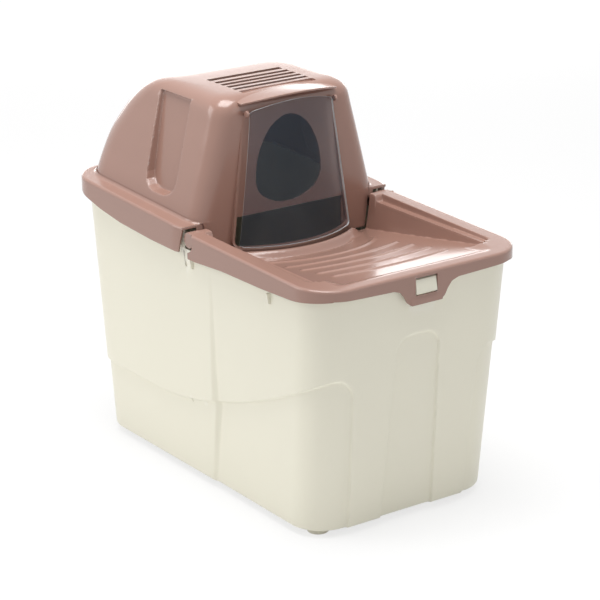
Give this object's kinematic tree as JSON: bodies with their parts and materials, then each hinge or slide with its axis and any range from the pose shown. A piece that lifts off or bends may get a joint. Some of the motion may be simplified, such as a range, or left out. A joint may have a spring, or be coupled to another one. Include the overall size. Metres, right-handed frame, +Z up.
{
  "type": "top entry litter box",
  "caption": "Top entry litter box: tall bin, hinged ribbed ramp lid with a front latch, and a rear hood with a bowed swing flap, roof vent and filter.",
  "frame": {"origin": "on the floor, under the middle of the overall length and width", "axes": "+Z up; -Y is the front, where the latch and the ramp are; X runs across the width"},
  "size_m": [0.333, 0.576, 0.5113],
  "materials": {
    "ivory_plastic": "satin",
    "rose_plastic": "satin",
    "smoke_plastic": "polished",
    "tray_plastic": "matte",
    "filter_pad": "matte"
  },
  "bodies": {
    "bin_body": {"bin": "ivory_plastic", "foot_fl": "ivory_plastic", "foot_fr": "ivory_plastic", "foot_rl": "ivory_plastic", "foot_rr": "ivory_plastic"},
    "latch_body": {"latch": "ivory_plastic"},
    "hood_body": {"hood": "rose_plastic", "filter_tray": "tray_plastic", "filter": "filter_pad"},
    "front_lid_body": {"front_lid": "rose_plastic"},
    "flap_body": {"flap": "smoke_plastic"}
  },
  "joints": [
    {"name": "hood_lift", "type": "slide", "parent": "bin_body", "child": "hood_body", "axis": [0, 0, 1], "range_m": [0, 0.08], "deforming": ["latch"]},
    {"name": "front_lid_hinge", "type": "hinge", "parent": "hood_body", "child": "front_lid_body", "pos_m": [0, -0.001, 0.336], "axis": [-1, 0, 0], "range_deg": [0, 35], "deforming": ["latch"]},
    {"name": "flap_swing", "type": "hinge", "parent": "hood_body", "child": "flap_body", "pos_m": [0, -0.004, 0.488], "axis": [-1, 0, 0], "range_deg": [0, 80]},
    {"name": "latch_press", "type": "hinge", "parent": "bin_body", "child": "latch_body", "pos_m": [0, -0.2774, 0.333], "axis": [1, 0, 0], "range_deg": [0, 12], "stiffness_Nm_per_rad": 0.6}
  ]
}
